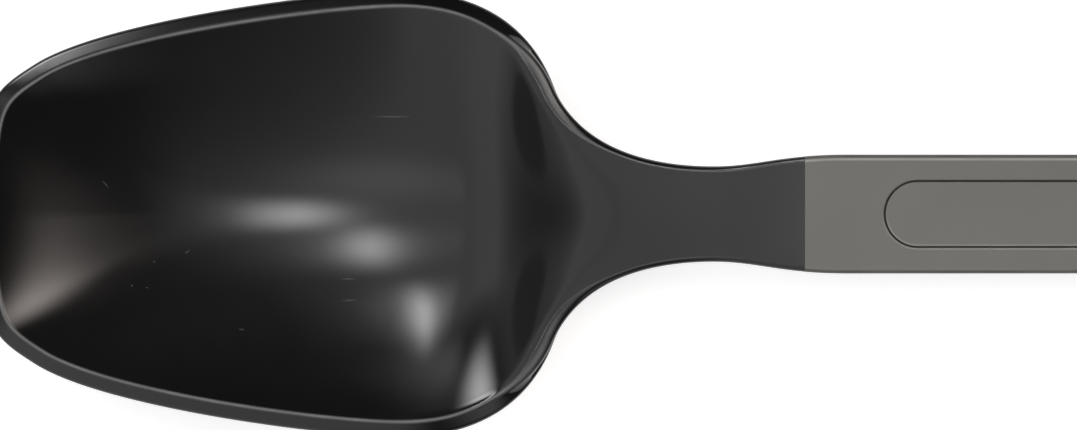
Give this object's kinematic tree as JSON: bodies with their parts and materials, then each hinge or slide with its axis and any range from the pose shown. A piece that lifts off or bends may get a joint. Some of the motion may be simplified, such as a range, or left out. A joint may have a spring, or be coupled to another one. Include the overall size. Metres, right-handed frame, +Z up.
{
  "type": "long-handled spoon",
  "caption": "Long-handled spoon: a deep blunt-tipped black bowl and neck whose tang is pinned in a flat grey handle with a flush stadium inlay and a hanging slot",
  "frame": {"origin": "bottom centre of the bounding box: the middle of the table area under the spoon as it lies on the bottom of its bowl and the end of its handle", "axes": "+X along the spoon from the tip of the bowl to the end of the handle, +Y across it, +Z up out of the open bowl"},
  "size_m": [0.2174, 0.042, 0.0094],
  "materials": {
    "black_nylon": "satin black moulded nylon",
    "grey_nylon": "fine matt warm-grey moulded nylon",
    "steel": "plain drawn steel"
  },
  "bodies": {
    "root": {"spoon_head": "black_nylon", "handle": "grey_nylon", "handle_inlay": "grey_nylon", "front_tang_pin": "steel", "rear_tang_pin": "steel"}
  },
  "joints": []
}
